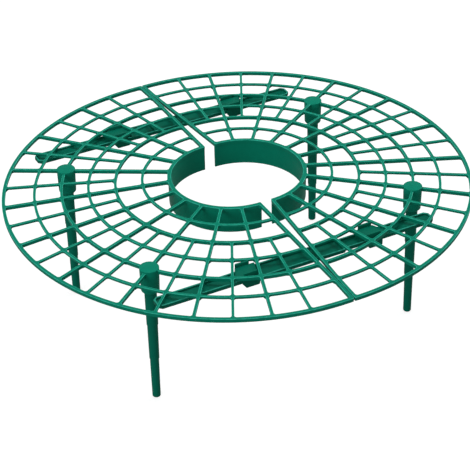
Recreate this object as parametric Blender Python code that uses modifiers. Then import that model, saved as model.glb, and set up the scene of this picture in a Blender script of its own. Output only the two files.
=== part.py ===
"""Strawberry plant support: two half-round grids, joined round the plant by two connector bars, on four legs.

Metres, +Z up. The seam between the halves lies in the plane X = 0, the left half on the -X side.
The origin is on the ground, in the middle of the plant opening.
"""

import math

import bmesh
import bpy

# Grid, in plan. Ring 0 is the collar round the plant and the last ring is the rim.
RIM_RADIUS = 0.150
COLLAR_RADIUS = 0.0407
RIM_BAY = 0.0203
BAYS = 6
OPEN_BAYS = 2
SECTORS = 20
HALF_OFFSET = 0.0047
SEAM_GAP = 0.0005
SEAM_RING = 5
CELL_CORNER = 0.0014

# Grid ribs: widths, depths and the height of the shallow cone that they lie on.
RIM_WIDTH = 0.0022
RING_WIDTH = 0.0018
COLLAR_WIDTH = 0.0026
BAR_WIDTH = 0.0019
SHORT_BAR_WIDTH = 0.0017
EDGE_BAR_WIDTH = 0.0020
DEEP_RIB = 0.0026
THIN_RIB = 0.0018
CONE_RISE = 0.0067
STAND_HEIGHT = 0.098

# Collar wall that hangs from ring 0.
COLLAR_HEIGHT = 0.0185
COLLAR_WALL = 0.0015

# Leg sockets, moulded under ring 4 with a closed flat top.
SOCKET_RING = 4
SOCKET_BARS = (6, 14)
SOCKET_HEIGHT = 0.0180
SOCKET_RADIUS = 0.0062
SOCKET_TAPER = 0.0004
SOCKET_CHAMFER = 0.0014
SOCKET_PROUD = 0.0005
ROOF_MARGIN = 0.0003
BORE_RADIUS = 0.0034

# Legs: a peg that pushes up into the bore, a shoulder, and three stepped and tapered lengths.
PEG_CHAMFER = 0.0008
PEG_CLEARANCE = 0.0003
SEAT_GAP = 0.0003
LEG_STEPS = (0.0250, 0.0265)
LEG_RADII = (0.0039, 0.0034, 0.0029)
LEG_TAPER = 0.0002
TIP_ROUND = 0.0010

# Connector bars: a tray with a wide middle and a leaf at each end, and two clips that push up into the grid.
CONNECTOR_LEFT = 0.1050
CONNECTOR_RIGHT = 0.0900
CONNECTOR_DEPTH = 0.0026
TRAY_FLOOR = 0.0011
RAIL_WIDTH = 0.0012
CROSS_RIB = 0.0012
MIDDLE_HALF_LENGTH = 0.0300
MIDDLE_POCKETS = 3
MIDDLE_WIDENING = 0.0005
MIDDLE_SLANT = 0.0012
LEAF_STEP = 0.0008
LEAF_NARROWING = 0.0003
LEAF_CORNER = 0.0024

# Clips: a raised channel, hollow underneath, between two cheeks that end below in wings to pull on.
CLIP_RING = 3
CLIP_BAR = 2
CLIP_CLEARANCE = 0.0004
CLIP_WALL = 0.0014
CLIP_RISE = 0.0050
CHANNEL_DEPTH = 0.0022
CHANNEL_WALL = 0.0012
WING_DROP = 0.0034
WING_LEFT = 0.0008
WING_RIGHT = 0.0018
WING_SLANT = 0.0026
WING_CORNER = 0.0006

# Fineness of the round shapes.
ROUND_SIDES = 16
ARC_CHORD = 0.0140
ARC_TURN = math.radians(9)
CUT_EXTRA = 0.0010
OVERLAP = 0.0006
WELD = 0.00001
FLAT_ANGLE = math.radians(0.01)

FULL_ANGLE = math.radians(180 / SECTORS)
BAY = (RIM_RADIUS - RIM_BAY - COLLAR_RADIUS) / (BAYS - 1)


def ring_radius(ring):
    """Centre line radius of a ring, counted outwards from the collar. The last bay is wider than the rest."""
    if ring == BAYS:
        return RIM_RADIUS
    return COLLAR_RADIUS + BAY * ring


def ring_width(ring):
    if ring == 0:
        return COLLAR_WIDTH
    if ring == BAYS:
        return RIM_WIDTH
    return RING_WIDTH


def bar_angle(bar):
    """Direction of a bar of the left half: bar 0 is the far end of the seam, the last bar the near end."""
    return math.pi / 2 + FULL_ANGLE * bar


def cone_height(radius):
    """Height of the grid's top surface above the rim's."""
    return CONE_RISE * (RIM_RADIUS - radius) / (RIM_RADIUS - COLLAR_RADIUS)


def rib_depth(number):
    """Depth of a ring or of a bar: those with an even number are deep."""
    return THIN_RIB if number % 2 else DEEP_RIB


def depth_at(x, y):
    """Depth of the grid at a corner of a cell, which lies either beside a ring or beside a bar."""
    radius = math.hypot(x, y)
    ring = min(range(BAYS + 1), key=lambda number: abs(ring_radius(number) - radius))
    if abs(ring_radius(ring) - radius) < (ring_width(ring) + CELL_CORNER) / 2:
        return rib_depth(ring)
    turn = (math.atan2(y, x) - math.pi / 2) % (2 * math.pi)
    return rib_depth(round(turn / FULL_ANGLE))


def bay_ends(ring):
    """Radii between which a bar runs clear of the ring and of the next one out, past the cut corners."""
    return (ring_radius(ring) + ring_width(ring) / 2 + CELL_CORNER,
            ring_radius(ring + 1) - ring_width(ring + 1) / 2 - CELL_CORNER)


def edge_line(side, radius):
    """Direction and distance from the half's centre of one face of bar 0: side -1 is the seam, +1 the cells.

    The bar leans from the collar towards the seam and follows it from the seam ring to the rim.
    """
    rim_end = HALF_OFFSET - SEAM_GAP / 2 - EDGE_BAR_WIDTH / 2
    if radius > ring_radius(SEAM_RING):
        return math.pi / 2, side * EDGE_BAR_WIDTH / 2 - rim_end
    lean = math.atan(rim_end / (ring_radius(SEAM_RING) - COLLAR_RADIUS))
    return math.pi / 2 - lean, COLLAR_RADIUS * math.sin(lean) + side * EDGE_BAR_WIDTH / 2


def bar_side(bar, side, radius):
    """Direction and distance from the centre of the straight face of a bar, side +1 towards the next bar."""
    if bar == 0:
        return edge_line(side, radius)
    if bar == SECTORS:
        direction, distance = edge_line(-side, radius)
        return 2 * math.pi - direction, -distance
    width = SHORT_BAR_WIDTH if bar % 2 else BAR_WIDTH
    return bar_angle(bar), side * width / 2


def angle_at(line, radius):
    """Angle at which a straight bar face crosses a circle round the centre."""
    direction, distance = line
    return direction + math.asin(distance / radius)


def polar(radius, angle):
    return radius * math.cos(angle), radius * math.sin(angle)


def arc(radius, start, end):
    """Points of an arc with both its ends, none further apart than the chord and the turn allow."""
    turn = abs(end - start)
    steps = max(1, math.ceil(turn * radius / ARC_CHORD), math.ceil(turn / ARC_TURN))
    return [polar(radius, start + (end - start) * i / steps) for i in range(steps + 1)]


def cell(ring, bar, next_bar):
    """Outline of one opening, with cut corners, between two rings and two bars."""
    inner = ring_radius(ring) + ring_width(ring) / 2
    outer = ring_radius(ring + 1) - ring_width(ring + 1) / 2
    first = bar_side(bar, 1, outer)
    last = bar_side(next_bar, -1, outer)
    cut = CELL_CORNER
    points = [polar(r, angle_at(first, r)) for r in (inner + cut, outer - cut)]
    points += arc(outer, angle_at(first, outer) + cut / outer, angle_at(last, outer) - cut / outer)
    points += [polar(r, angle_at(last, r)) for r in (outer - cut, inner + cut)]
    points += arc(inner, angle_at(last, inner) - cut / inner, angle_at(first, inner) + cut / inner)
    return points


def half_outline(inner, outer, inset, between=()):
    """Outline of a half ring whose two ends run along the seam faces of its edge bars."""
    def start(radius):
        """Angle of the first end at a radius. The second end mirrors it in the half's own middle line."""
        direction, distance = edge_line(-1, radius)
        return angle_at((direction, distance + inset), radius)

    points = arc(outer, start(outer), 2 * math.pi - start(outer))
    points += [polar(r, 2 * math.pi - start(r)) for r in between[::-1]]
    points += arc(inner, 2 * math.pi - start(inner), start(inner))
    return points + [polar(r, start(r)) for r in between]


def grid_cells():
    """Openings of one half: wide ones in the inner bays, where every second bar stops short."""
    cells = []
    for ring in range(BAYS):
        step = 2 if ring < OPEN_BAYS else 1
        cells += [cell(ring, bar, bar + step) for bar in range(0, SECTORS, step)]
    return cells


def new_object(name, data, group):
    thing = bpy.data.objects.new(name, data)
    group.objects.link(thing)
    return thing


def solid_mesh(thing, name):
    """Evaluated shape of an object as a welded mesh. The object is then removed."""
    bpy.context.view_layer.update()
    graph = bpy.context.evaluated_depsgraph_get()
    mesh = bpy.data.meshes.new_from_object(thing.evaluated_get(graph))
    mesh.name = name
    mesh.transform(thing.matrix_world)
    shape = bmesh.new()
    shape.from_mesh(mesh)
    bmesh.ops.remove_doubles(shape, verts=shape.verts, dist=WELD)
    bmesh.ops.triangulate(shape, faces=shape.faces)
    flat = [edge for edge in shape.edges if edge.is_manifold and edge.calc_face_angle() < FLAT_ANGLE]
    bmesh.ops.beautify_fill(shape, faces=shape.faces, edges=flat)
    bmesh.ops.recalc_face_normals(shape, faces=shape.faces)
    shape.to_mesh(mesh)
    shape.free()
    bpy.data.objects.remove(thing)
    return mesh


def plate(name, outlines, low, high, upright=False):
    """Flat solid from closed outlines, between two heights. Upright plates stand in the XZ plane."""
    curve = bpy.data.curves.new(name, "CURVE")
    curve.dimensions = "2D"
    curve.fill_mode = "BOTH"
    curve.extrude = (high - low) / 2
    for points in outlines:
        spline = curve.splines.new("POLY")
        spline.points.add(len(points) - 1)
        for point, (x, y) in zip(spline.points, points):
            point.co = (x, y, 0, 1)
        spline.use_cyclic_u = True
    thing = new_object(name, curve, CUTTERS)
    if upright:
        thing.rotation_euler.x = math.pi / 2
        thing.location.y = (low + high) / 2
    else:
        thing.location.z = (low + high) / 2
    return new_object(name, solid_mesh(thing, name), CUTTERS)


def turned(name, profile):
    """Turned solid from a profile of radius and height that runs down its outer side."""
    mesh = bpy.data.meshes.new(name)
    points = [(radius, 0, height) for radius, height in profile]
    mesh.from_pydata(points, [(i, i + 1) for i in range(len(points) - 1)], [])
    thing = new_object(name, mesh, CUTTERS)
    screw = thing.modifiers.new("Turn", "SCREW")
    screw.steps = ROUND_SIDES
    screw.render_steps = ROUND_SIDES
    screw.use_merge_vertices = True
    screw.merge_threshold = WELD
    return new_object(name, solid_mesh(thing, name), CUTTERS)


def joined(body, tools, operation):
    """Body with each tool added to it or cut from it."""
    for tool in tools:
        tool.hide_render = True
        tool.display_type = "WIRE"
        step = body.modifiers.new(tool.name, "BOOLEAN")
        step.operation = operation
        step.solver = "EXACT"
        step.object = tool
    return new_object(body.name, solid_mesh(body, body.name), CUTTERS)


def plastic(name, colour, roughness):
    """Moulded plastic with a soft sheen."""
    material = bpy.data.materials.new(name)
    material.use_nodes = True
    shader = material.node_tree.nodes["Principled BSDF"]
    shader.inputs["Base Color"].default_value = (*colour, 1)
    shader.inputs["Roughness"].default_value = roughness
    shader.inputs["Metallic"].default_value = 0
    return material


def finished(name, mesh, material, location, turn=0.0):
    """Named part in the object's own collection, shaded smooth with sharp moulded edges."""
    mesh.shade_smooth()
    mesh.set_sharp_from_angle(angle=math.radians(35))
    thing = new_object(name, mesh, SUPPORT)
    thing.data.materials.clear()
    thing.data.materials.append(material)
    thing.location = location
    thing.rotation_euler.z = turn
    return thing


def socket_place(bar):
    return polar(ring_radius(SOCKET_RING), bar_angle(bar))


def socket_top():
    """Height of the flat socket top above the rim."""
    return cone_height(ring_radius(SOCKET_RING)) + SOCKET_PROUD


def bore_top():
    """Height of the bore's closed end above the rim, just under the lowest rib that crosses the bore."""
    return cone_height(ring_radius(SOCKET_RING) + BORE_RADIUS) - DEEP_RIB - ROOF_MARGIN


def socket_profile():
    top = socket_top()
    bottom = top - SOCKET_HEIGHT
    foot = SOCKET_RADIUS - SOCKET_TAPER
    return [(0, top), (SOCKET_RADIUS, top), (foot, bottom + SOCKET_CHAMFER), (foot - SOCKET_CHAMFER, bottom),
            (BORE_RADIUS, bottom), (BORE_RADIUS, bore_top()), (0, bore_top())]


def half_grid():
    """One moulded half: the ribbed cone, the half collar and its two sockets, with the rim's top at zero."""
    rim = RIM_RADIUS + RIM_WIDTH / 2
    stations = [radius for ring in range(BAYS) for radius in bay_ends(ring)]
    outline = half_outline(COLLAR_RADIUS - COLLAR_WIDTH / 2, rim, 0, stations)
    flat = plate("half_grid", [outline] + grid_cells(), 0, 1)
    for vertex in flat.data.vertices:
        under = depth_at(vertex.co.x, vertex.co.y) if vertex.co.z < 0.5 else 0
        vertex.co.z = cone_height(math.hypot(vertex.co.x, vertex.co.y)) - under
    top = cone_height(COLLAR_RADIUS)
    wall = half_outline(COLLAR_RADIUS - COLLAR_WALL / 2, COLLAR_RADIUS + COLLAR_WALL / 2, EDGE_BAR_WIDTH / 8)
    tools = [plate("collar_wall", [wall], top - COLLAR_HEIGHT, top - OVERLAP)]
    for bar in SOCKET_BARS:
        socket = turned("socket", socket_profile())
        x, y = socket_place(bar)
        for vertex in socket.data.vertices:
            vertex.co.x += x
            vertex.co.y += y
        tools.append(socket)
    return joined(flat, tools, "UNION").data


def leg():
    """One stepped leg, its shoulder at zero and its peg above it."""
    peg = BORE_RADIUS - PEG_CLEARANCE
    shoulder = socket_top() - SOCKET_HEIGHT - SEAT_GAP
    length = STAND_HEIGHT + shoulder
    top = bore_top() - SEAT_GAP - shoulder
    profile = [(0, top), (peg - PEG_CHAMFER, top), (peg, top - PEG_CHAMFER), (peg, 0)]
    height = 0
    for drop, radius in zip(LEG_STEPS, LEG_RADII):
        profile += [(radius, height), (radius - LEG_TAPER, height - drop)]
        height -= drop
    radius = LEG_RADII[-1]
    profile += [(radius, height), (radius - LEG_TAPER, TIP_ROUND - length)]
    for turn in (30, 60, 90):
        angle = math.radians(turn)
        profile.append((radius - LEG_TAPER - TIP_ROUND * (1 - math.cos(angle)),
                        TIP_ROUND * (1 - math.sin(angle)) - length))
    profile.append((0, -length))
    return turned("leg", profile).data


def clip_seat():
    """Room for a clip in its cell: nearest and furthest X from the half's centre, nearest and furthest Y."""
    inner = ring_radius(CLIP_RING) + RING_WIDTH / 2
    outer = ring_radius(CLIP_RING + 1) - RING_WIDTH / 2
    near_bar = FULL_ANGLE * CLIP_BAR
    far_bar = FULL_ANGLE * (CLIP_BAR + 1)
    near_x = inner * math.sin(near_bar)
    far_x = inner * math.sin(far_bar)
    for _ in range(20):
        near_y = math.sqrt(inner ** 2 - near_x ** 2) + CLIP_CLEARANCE
        far_y = math.sqrt(outer ** 2 - far_x ** 2) - CLIP_CLEARANCE
        near_x = far_y * math.tan(near_bar) + (BAR_WIDTH / 2 + CLIP_CLEARANCE) / math.cos(near_bar)
        far_x = near_y * math.tan(far_bar) - (BAR_WIDTH / 2 + CLIP_CLEARANCE) / math.cos(far_bar)
    return near_x, far_x, near_y, far_y


def channel_plan(reach, inset):
    """Outline of a clip's channel, which fills its cell between the cheeks, clear of the cell's cut corners.

    It starts at the inner ring and runs along the far bar, the outer ring and the near bar. X counts from the
    half's centre and Y from the middle of the clip. The inset moves all but the two long sides inwards.
    """
    near_y, far_y = clip_seat()[2:]
    middle = (near_y + far_y) / 2
    low = middle - reach
    high = middle + reach
    near_bar = FULL_ANGLE * CLIP_BAR
    far_bar = FULL_ANGLE * (CLIP_BAR + 1)
    aside = BAR_WIDTH / 2 + CLIP_CLEARANCE + inset
    inner = ring_radius(CLIP_RING) + RING_WIDTH / 2 + CLIP_CLEARANCE + inset
    outer = ring_radius(CLIP_RING + 1) - RING_WIDTH / 2 - CLIP_CLEARANCE - inset

    def beside(bar, side, radius):
        """Point on a circle at the clearance from a bar, side +1 for the bar's far side."""
        turn = bar + side * math.asin(aside / radius)
        return radius * math.sin(turn), radius * math.cos(turn)

    far_turn = far_bar - math.asin(aside / outer) - CELL_CORNER / outer
    bar_x, bar_y = beside(far_bar, -1, outer - CELL_CORNER)
    ring_x, ring_y = outer * math.sin(far_turn), outer * math.cos(far_turn)
    share = min(1, (high - bar_y) / (ring_y - bar_y))
    cut_x = bar_x + share * (ring_x - bar_x)
    cut_y = bar_y + share * (ring_y - bar_y)
    near_wall = low * math.tan(near_bar) + aside / math.cos(near_bar)
    corners = [(max(math.sqrt(inner ** 2 - low ** 2), near_wall), low),
               (low * math.tan(far_bar) - aside / math.cos(far_bar), low),
               (bar_x, bar_y),
               (cut_x, cut_y),
               (min(math.sqrt(outer ** 2 - high ** 2), cut_x), high),
               (high * math.tan(near_bar) + aside / math.cos(near_bar), high),
               beside(near_bar, 1, inner + CELL_CORNER)]
    return [(x, y - middle) for x, y in corners]


def connector_top():
    """Height above the rim at which a connector bar just clears the lowest rib that it passes under."""
    near_y, far_y = clip_seat()[2:]
    end = max(CONNECTOR_LEFT, CONNECTOR_RIGHT) - HALF_OFFSET
    undersides = []
    for ring in range(CLIP_RING, BAYS + 1):
        outer = ring_radius(ring) + ring_width(ring) / 2
        if ring_radius(ring) < math.hypot(end, far_y):
            undersides.append(cone_height(outer) - rib_depth(ring))
    for bar in range(1, SECTORS // 2):
        turn = FULL_ANGLE * bar
        if near_y * math.tan(turn) < end:
            crossing = min(far_y / math.cos(turn), end / math.sin(turn))
            undersides.append(cone_height(crossing) - rib_depth(bar))
    return min(undersides) - SEAT_GAP


def oblong(low, high, half):
    """Outline of a rectangle between two X positions, reaching as far to either side of the X axis."""
    return [(low, -half), (high, -half), (high, half), (low, half)]


def connector(outward):
    """Connector bar along X, its top at zero. Its clips rise above it and widen with their cells, outward."""
    near_x, far_x, near_y, far_y = clip_seat()
    clip_half = (far_y - near_y) / 2
    near_clip = near_x + HALF_OFFSET
    far_clip = far_x + HALF_OFFSET
    wide = clip_half + MIDDLE_WIDENING
    root = clip_half - LEAF_STEP
    tip = root - LEAF_NARROWING
    centre = (CONNECTOR_RIGHT - CONNECTOR_LEFT) / 2

    def leaf(end, sign):
        """Upper edge of one end: the step down from the wide middle, the leaf and half of its cut tip."""
        step = centre + sign * MIDDLE_HALF_LENGTH
        return [(step, wide), (step + sign * MIDDLE_SLANT, root), (sign * (end - LEAF_CORNER), tip),
                (sign * end, tip - LEAF_CORNER)]

    upper = leaf(CONNECTOR_LEFT, -1)[::-1] + leaf(CONNECTOR_RIGHT, 1)
    lower = [(x, -y) for x, y in upper[::-1]]
    bar = plate("connector", [upper + lower], -CONNECTOR_DEPTH, 0)

    pitch = 2 * MIDDLE_HALF_LENGTH / MIDDLE_POCKETS
    walls = [centre - MIDDLE_HALF_LENGTH + pitch * i for i in range(MIDDLE_POCKETS + 1)]
    inside = wide - RAIL_WIDTH
    pockets = []
    for start, end in zip(walls, walls[1:]):
        pockets.append(oblong(start + CROSS_RIB / 2, end - CROSS_RIB / 2, inside))
    inside = root - RAIL_WIDTH
    narrow = tip - RAIL_WIDTH
    for end, wall, sign in ((CONNECTOR_RIGHT, walls[-1], 1), (CONNECTOR_LEFT, walls[0], -1)):
        low = wall + sign * (CROSS_RIB / 2 + MIDDLE_SLANT)
        last = sign * (end - RAIL_WIDTH)
        cut = sign * (end - LEAF_CORNER)
        corner = narrow - LEAF_CORNER + RAIL_WIDTH
        pockets.append([(low, -inside), (cut, -narrow), (last, -corner),
                        (last, corner), (cut, narrow), (low, inside)])
    floor = TRAY_FLOOR - CONNECTOR_DEPTH
    tray = joined(bar, [plate("pockets", pockets, floor, CUT_EXTRA)], "DIFFERENCE")

    wing = -CONNECTOR_DEPTH - WING_DROP
    channel_top = CLIP_RISE - CHANNEL_DEPTH
    reach = clip_half - CLIP_WALL
    plans = channel_plan(reach + OVERLAP, 0), channel_plan(reach - OVERLAP, CHANNEL_WALL)
    solids = []
    hollows = []
    for sign in (1, -1):
        low, high = sorted((sign * near_clip, sign * far_clip))
        left = low - WING_LEFT
        right = high + WING_RIGHT
        cheek = [(low, CLIP_RISE), (low, -OVERLAP), (left, -OVERLAP), (left, -CONNECTOR_DEPTH),
                 (left + WING_SLANT, wing), (right - WING_CORNER, wing), (right, wing + WING_CORNER),
                 (right, -OVERLAP), (high, -OVERLAP), (high, CLIP_RISE)]
        for start, end in ((reach, clip_half), (-clip_half, -reach)):
            solids.append(plate("cheek", [cheek], start, end, upright=True))
        block, room = ([(sign * (x + HALF_OFFSET), outward * y) for x, y in plan] for plan in plans)
        solids.append(plate("channel", [block], floor - OVERLAP, channel_top))
        hollows.append(plate("hollow", [room], -CONNECTOR_DEPTH - CUT_EXTRA, channel_top - CHANNEL_WALL))
    clipped = joined(tray, solids, "UNION")
    return joined(clipped, hollows, "DIFFERENCE").data


for old in list(bpy.data.objects):
    bpy.data.objects.remove(old)
SUPPORT = bpy.data.collections.new("strawberry_plant_support")
CUTTERS = bpy.data.collections.new("cutters")
bpy.context.scene.collection.children.link(SUPPORT)
bpy.context.scene.collection.children.link(CUTTERS)

GRID_GREEN = plastic("grid_green", (0.004, 0.240, 0.130), 0.38)
LEG_GREEN = plastic("leg_green", (0.003, 0.170, 0.095), 0.45)
CONNECTOR_GREEN = plastic("connector_green", (0.003, 0.190, 0.105), 0.42)

grid_mesh = half_grid()
finished("left_grid", grid_mesh, GRID_GREEN, (-HALF_OFFSET, 0, STAND_HEIGHT))
finished("right_grid", grid_mesh, GRID_GREEN, (HALF_OFFSET, 0, STAND_HEIGHT), math.pi)

leg_mesh = leg()
shoulder = STAND_HEIGHT + socket_top() - SOCKET_HEIGHT - SEAT_GAP
for row, bar_number in (("back", SOCKET_BARS[0]), ("front", SOCKET_BARS[1])):
    across, along = socket_place(bar_number)
    for side, sign in (("left", 1), ("right", -1)):
        finished(f"leg_{row}_{side}", leg_mesh, LEG_GREEN, (sign * (across - HALF_OFFSET), along, shoulder))

connector_y = sum(clip_seat()[2:]) / 2
for row, outward in (("back", 1), ("front", -1)):
    place = (0, outward * connector_y, STAND_HEIGHT + connector_top())
    finished(f"connector_{row}", connector(outward), CONNECTOR_GREEN, place)

for helper in list(CUTTERS.objects):
    bpy.data.objects.remove(helper)
bpy.data.collections.remove(CUTTERS)
bpy.context.view_layer.update()
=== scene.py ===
# %% [markdown]
# A strawberry plant support is a wide, low table of green plastic ribs. Two half-round grids close round the
# plant, two ribbed bars clip in from below and hold the halves together, and four stepped legs push up into
# sockets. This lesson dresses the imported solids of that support. Every visible surface is worked out with
# numpy as a function of two parameters, because a moulding is mostly one section carried along many short
# paths.

# %% Load the frame
import math

import bmesh
import bpy
import numpy as np
from mathutils import Matrix, Vector
from mathutils.geometry import delaunay_2d_cdt


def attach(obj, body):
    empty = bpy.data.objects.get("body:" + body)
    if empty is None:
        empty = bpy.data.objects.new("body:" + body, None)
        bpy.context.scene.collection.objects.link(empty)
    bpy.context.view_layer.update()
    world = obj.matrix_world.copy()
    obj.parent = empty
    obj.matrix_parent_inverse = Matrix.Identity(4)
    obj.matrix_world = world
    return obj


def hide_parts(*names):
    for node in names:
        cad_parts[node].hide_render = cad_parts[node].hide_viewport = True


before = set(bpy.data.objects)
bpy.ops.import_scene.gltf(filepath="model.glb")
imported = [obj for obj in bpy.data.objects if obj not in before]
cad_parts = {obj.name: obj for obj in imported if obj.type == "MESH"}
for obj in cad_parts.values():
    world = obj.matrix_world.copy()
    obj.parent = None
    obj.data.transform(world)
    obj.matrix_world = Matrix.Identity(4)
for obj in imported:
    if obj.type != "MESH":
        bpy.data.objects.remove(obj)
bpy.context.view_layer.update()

print("nodes:", sorted(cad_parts))

# %% [markdown]
# The camera comes first, because everything later is compared with one picture. It stands well back with a
# long lens, so the near and far rims look almost alike. A long lens also means that a small turn of the
# camera moves the picture a lot, so the aim is given as a point in the plane of the rim and two small shifts
# in the picture.

# %% Camera
STAND_HEIGHT = 0.098
HALF_OFFSET = 0.0047
PICTURE_SIDE = 470
SENSOR_WIDTH = 36.0
FOCAL_PIXELS = 1650.0
VIEW_AZIMUTH = math.radians(26.80)
VIEW_ELEVATION = math.radians(33.81)
VIEW_ROLL = math.radians(-1.364)
VIEW_DISTANCE = 1.091
AIM_RIGHT = 0.00263
AIM_UP = -0.03464
SIGHT_NEAR = 0.05
SIGHT_FAR = 20


def add_object(name, data):
    """New object with this data, linked into the scene."""
    made = bpy.data.objects.new(name, data)
    bpy.context.scene.collection.objects.link(made)
    return made


forward = Vector((math.sin(VIEW_AZIMUTH) * math.cos(VIEW_ELEVATION),
                  math.cos(VIEW_AZIMUTH) * math.cos(VIEW_ELEVATION),
                  -math.sin(VIEW_ELEVATION)))
level_right = Vector((math.cos(VIEW_AZIMUTH), -math.sin(VIEW_AZIMUTH), 0))
level_up = level_right.cross(forward)
picture_right = math.cos(VIEW_ROLL) * level_right + math.sin(VIEW_ROLL) * level_up
picture_up = -math.sin(VIEW_ROLL) * level_right + math.cos(VIEW_ROLL) * level_up
aim = Vector((-HALF_OFFSET, 0, STAND_HEIGHT)) + AIM_RIGHT * picture_right + AIM_UP * picture_up

camera = add_object("camera", bpy.data.cameras.new("camera"))
camera.data.lens = FOCAL_PIXELS * SENSOR_WIDTH / PICTURE_SIDE
camera.data.sensor_width = SENSOR_WIDTH
camera.data.sensor_fit = "HORIZONTAL"
camera.data.clip_start = SIGHT_NEAR
camera.data.clip_end = SIGHT_FAR
turn = Matrix((picture_right, picture_up, -forward)).transposed()
camera.matrix_world = Matrix.Translation(aim - VIEW_DISTANCE * forward) @ turn.to_4x4()
bpy.context.scene.camera = camera
print("lens", round(camera.data.lens, 1), "mm, camera at", [round(v, 3) for v in camera.location])

# %% [markdown]
# The plan of one half is a polar drawing: seven rings round the plant, and bars every nine degrees. The two
# edge bars lean from the collar towards the seam and run along it in the outermost bay, so the halves nearly
# touch at the rim and stand apart at the collar. Every rib has a half width and a depth, and both are kept in
# arrays, one entry for each ring or bar. The rim is drawn 0.16 mm smaller than the solid's, whose facets lie
# just inside their circle, so that the round skin stays inside the solid's box.

# %% Plan of a half
RIM_RADIUS = 0.14984
COLLAR_RADIUS = 0.0407
RIM_BAY = 0.0203
BAYS = 6
OPEN_BAYS = 2
SECTORS = 20
SEAM_GAP = 0.0005
SEAM_RING = 5
CELL_CORNER = 0.0014
RIM_WIDTH = 0.0022
RING_WIDTH = 0.0018
COLLAR_WIDTH = 0.0026
BAR_WIDTH = 0.0019
SHORT_BAR_WIDTH = 0.0017
EDGE_BAR_WIDTH = 0.0020
DEEP_RIB = 0.0026
THIN_RIB = 0.0018
CONE_RISE = 0.0067

rings = np.arange(BAYS + 1)
bars = np.arange(SECTORS + 1)
sector = math.pi / SECTORS

ring_radius = COLLAR_RADIUS + (RIM_RADIUS - RIM_BAY - COLLAR_RADIUS) / (BAYS - 1) * rings
ring_radius[-1] = RIM_RADIUS
rim_end = HALF_OFFSET - SEAM_GAP / 2 - EDGE_BAR_WIDTH / 2
lean = math.atan(rim_end / (ring_radius[SEAM_RING] - COLLAR_RADIUS))
ring_half = np.full(BAYS + 1, RING_WIDTH / 2)
ring_half[0] = COLLAR_WIDTH / 2
ring_half[-1] = RIM_WIDTH / 2
ring_depth = np.where(rings % 2, THIN_RIB, DEEP_RIB)

seam_direction = math.pi / 2 + sector * bars
seam_distance = np.zeros(SECTORS + 1)
seam_distance[[0, -1]] = -rim_end, rim_end
bar_direction = seam_direction.copy()
bar_direction[[0, -1]] += -lean, lean
bar_distance = np.zeros(SECTORS + 1)
bar_distance[[0, -1]] = COLLAR_RADIUS * math.sin(lean), -COLLAR_RADIUS * math.sin(lean)
bar_half = np.where(bars % 2, SHORT_BAR_WIDTH, BAR_WIDTH) / 2
bar_half[[0, -1]] = EDGE_BAR_WIDTH / 2
bar_depth = np.where(bars % 2, THIN_RIB, DEEP_RIB)


def cone_height(radius):
    """Top surface: rises in a straight line from zero at the rim to the full rise at the collar."""
    return CONE_RISE * (RIM_RADIUS - radius) / (RIM_RADIUS - COLLAR_RADIUS)


def beside_bar(bar, shift, radius):
    """Angle of a point beside a straight bar: direction plus arcsin of (distance + shift) over radius.

    Outside the seam ring an edge bar has another direction and distance, those of a line along the seam.
    """
    outside = radius > ring_radius[SEAM_RING]
    direction = np.where(outside, seam_direction[bar], bar_direction[bar])
    distance = np.where(outside, seam_distance[bar], bar_distance[bar])
    return direction + np.arcsin((distance + shift) / radius)


print("ring radii in mm:", np.round(ring_radius * 1000, 1))

# %% [markdown]
# A real half is one smooth skin with a hundred rounded openings. It could be cut from a plate with booleans,
# but the edges would then have no even rounding. Instead each opening is one tile: a loop of points runs
# round it, and the rib section is carried along that loop, from the centre line on top, over a rounded edge,
# down a wall with a little draft, and back to the centre line below. Neighbouring tiles share the centre
# lines exactly, so the tiles weld into a closed skin.

# %% Loops round the openings
CORNER_STEPS = 6
ALONG_RING = 4
ALONG_BAR = 3
ACROSS = np.linspace(-1, 1, CORNER_STEPS + 1)


def inner_corner(ring, bar, out, along, away):
    """Corner of an opening, from the bar's face to the ring's face, as radius, angle and depth.

    The cut is a quarter circle round a centre that lies one corner radius from both faces. Moved away from
    the opening it stays parallel: its radius grows. With away None the points lie on the two centre lines
    instead.
    """
    turn = np.linspace(0, math.pi / 2, CORNER_STEPS + 1)
    reach_s = bar_half[bar] + CELL_CORNER
    reach_t = ring_half[ring] + CELL_CORNER
    if away is None:
        s = reach_s * np.clip(ACROSS, 0, 1)
        t = reach_t * np.clip(-ACROSS, 0, 1)
    else:
        s = reach_s - (CELL_CORNER + away) * np.cos(turn)
        t = reach_t - (CELL_CORNER + away) * np.sin(turn)
    radius = ring_radius[ring] + out * t
    rib = np.where(ACROSS > 0, ring_depth[ring], bar_depth[bar])
    deepest = max(ring_depth[ring], bar_depth[bar])
    depth = deepest + (rib - deepest) * np.abs(ACROSS)
    return np.stack([radius, beside_bar(bar, along * s, radius), depth])


def filled_run(marks, steps):
    """Points between the first mark and the last, with even steps filled in from each mark to the next."""
    marks = [np.atleast_1d(mark) for mark in marks]
    parts = [np.concatenate([np.linspace(near[-1], far[0], steps + 1)[1:-1], far])
             for near, far in zip(marks, marks[1:])]
    return np.concatenate(parts)[:-1]


def along_ring(ring, out, first, last, away):
    """Points beside a ring between two bars, closer together where another bar meets it from either side."""
    t = 0 if away is None else ring_half[ring] - away
    radius = ring_radius[ring] + out * t
    reach = bar_half + CELL_CORNER
    middle = [beside_bar(bar, reach[bar] * ACROSS, radius) for bar in range(first + 1, last)]
    angles = filled_run([beside_bar(first, reach[first], radius), *middle,
                         beside_bar(last, -reach[last], radius)], ALONG_RING)
    return np.stack([np.full(len(angles), radius), angles, np.full(len(angles), ring_depth[ring])])


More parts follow.
